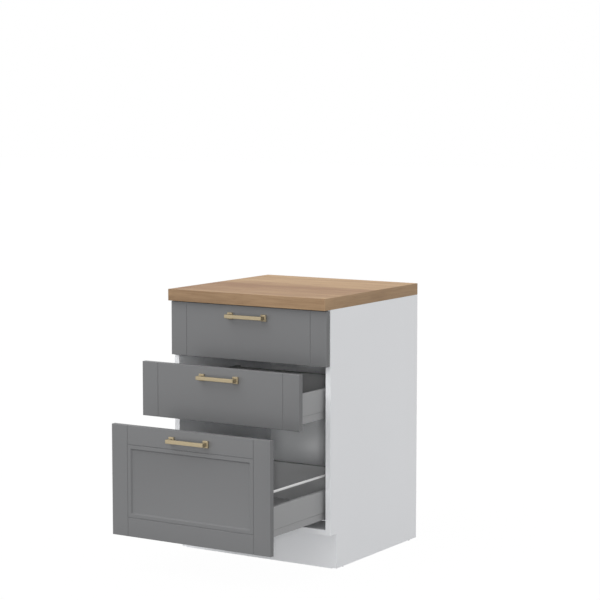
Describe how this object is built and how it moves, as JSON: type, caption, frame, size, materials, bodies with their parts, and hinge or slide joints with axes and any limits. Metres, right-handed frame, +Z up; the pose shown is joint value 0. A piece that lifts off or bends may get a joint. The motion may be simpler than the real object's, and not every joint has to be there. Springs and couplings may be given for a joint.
{
  "type": "kitchen base cabinet with drawers",
  "caption": "Kitchen base cabinet with framed drawer fronts, brass bar handles, steel-sided drawers on telescopic runners, a wood-look worktop and a recessed toe kick.",
  "frame": {"origin": "on the floor, midway between the sides, where the toe kick's front face meets the floor", "axes": "+X to the right as seen from the front, +Y from the front to the wall, +Z up"},
  "size_m": [0.6, 0.939, 0.872],
  "materials": {
    "white_melamine": "satin white melamine on chipboard",
    "hardboard": "light grey coated hardboard",
    "worktop_laminate": "matt oak laminate on chipboard",
    "edge_band": "matt oak edging",
    "grey_paint": "satin grey painted fibreboard",
    "satin_brass": "satin brass",
    "grey_steel": "satin grey powder coat",
    "black_steel": "black powder coat",
    "rod_paint": "light grey powder coat",
    "zinc_steel": "zinc plated",
    "screw_steel": "zinc plated",
    "cast_cam": "cast zinc",
    "beech": "plain beech",
    "grey_board": "grey melamine on chipboard",
    "glide_plastic": "matt black"
  },
  "bodies": {
    "carcass": {"side_panel_left": "white_melamine", "side_panel_right": "white_melamine", "bottom_panel": "white_melamine", "back_panel": "hardboard", "front_stretcher": "white_melamine", "rear_stretcher": "white_melamine", "toe_kick": "white_melamine", "worktop": "worktop_laminate", "worktop_edge_bands": "edge_band", "worktop_brackets": "zinc_steel", "worktop_screws": "screw_steel", "floor_glides": "glide_plastic", "cam_locks": "cast_cam", "cam_bolts": "zinc_steel", "dowels": "beech", "runner_screws": "screw_steel", "cabinet_rails_top": "zinc_steel", "cabinet_rails_middle": "zinc_steel", "cabinet_rails_bottom": "zinc_steel"},
    "drawer_top": {"front_top": "grey_paint", "handle_top": "satin_brass", "handle_screws_top": "screw_steel", "side_top_left": "grey_steel", "side_top_right": "grey_steel", "base_top": "grey_board", "back_top": "grey_board", "drawer_rails_top": "zinc_steel", "front_brackets_top": "black_steel", "rear_brackets_top": "black_steel", "bracket_screws_top": "screw_steel"},
    "middle_rail_top_left": {"middle_rail_top_left": "zinc_steel"},
    "middle_rail_top_right": {"middle_rail_top_right": "zinc_steel"},
    "drawer_middle": {"front_middle": "grey_paint", "handle_middle": "satin_brass", "handle_screws_middle": "screw_steel", "side_middle_left": "grey_steel", "side_middle_right": "grey_steel", "base_middle": "grey_board", "back_middle": "grey_board", "drawer_rails_middle": "zinc_steel", "front_brackets_middle": "black_steel", "rear_brackets_middle": "black_steel", "bracket_screws_middle": "screw_steel"},
    "middle_rail_middle_left": {"middle_rail_middle_left": "zinc_steel"},
    "middle_rail_middle_right": {"middle_rail_middle_right": "zinc_steel"},
    "drawer_bottom": {"front_bottom": "grey_paint", "handle_bottom": "satin_brass", "handle_screws_bottom": "screw_steel", "side_bottom_left": "grey_steel", "side_bottom_right": "grey_steel", "base_bottom": "grey_board", "back_bottom": "grey_board", "drawer_rails_bottom": "zinc_steel", "front_brackets_bottom": "black_steel", "rear_brackets_bottom": "black_steel", "bracket_screws_bottom": "screw_steel", "gallery_rails": "rod_paint", "rail_sockets": "rod_paint"},
    "middle_rail_bottom_left": {"middle_rail_bottom_left": "zinc_steel"},
    "middle_rail_bottom_right": {"middle_rail_bottom_right": "zinc_steel"}
  },
  "joints": [
    {"name": "drawer_top_slide", "type": "slide", "parent": "carcass", "child": "drawer_top", "axis": [0, -1, 0], "range_m": [0, 0.48]},
    {"name": "middle_rail_top_left_slide", "type": "slide", "parent": "carcass", "child": "middle_rail_top_left", "axis": [0, -1, 0], "range_m": [0, 0.24]},
    {"name": "middle_rail_top_right_slide", "type": "slide", "parent": "carcass", "child": "middle_rail_top_right", "axis": [0, -1, 0], "range_m": [0, 0.24]},
    {"name": "drawer_middle_slide", "type": "slide", "parent": "carcass", "child": "drawer_middle", "axis": [0, -1, 0], "range_m": [-0.161, 0.319]},
    {"name": "middle_rail_middle_left_slide", "type": "slide", "parent": "carcass", "child": "middle_rail_middle_left", "axis": [0, -1, 0], "range_m": [-0.0805, 0.1595]},
    {"name": "middle_rail_middle_right_slide", "type": "slide", "parent": "carcass", "child": "middle_rail_middle_right", "axis": [0, -1, 0], "range_m": [-0.0805, 0.1595]},
    {"name": "drawer_bottom_slide", "type": "slide", "parent": "carcass", "child": "drawer_bottom", "axis": [0, -1, 0], "range_m": [-0.326, 0.154]},
    {"name": "middle_rail_bottom_left_slide", "type": "slide", "parent": "carcass", "child": "middle_rail_bottom_left", "axis": [0, -1, 0], "range_m": [-0.163, 0.077]},
    {"name": "middle_rail_bottom_right_slide", "type": "slide", "parent": "carcass", "child": "middle_rail_bottom_right", "axis": [0, -1, 0], "range_m": [-0.163, 0.077]}
  ],
  "couplings": [
    {"joint": "middle_rail_top_left_slide", "follows": "drawer_top_slide", "ratio": 0.5},
    {"joint": "middle_rail_top_right_slide", "follows": "drawer_top_slide", "ratio": 0.5},
    {"joint": "middle_rail_middle_left_slide", "follows": "drawer_middle_slide", "ratio": 0.5},
    {"joint": "middle_rail_middle_right_slide", "follows": "drawer_middle_slide", "ratio": 0.5},
    {"joint": "middle_rail_bottom_left_slide", "follows": "drawer_bottom_slide", "ratio": 0.5},
    {"joint": "middle_rail_bottom_right_slide", "follows": "drawer_bottom_slide", "ratio": 0.5}
  ]
}
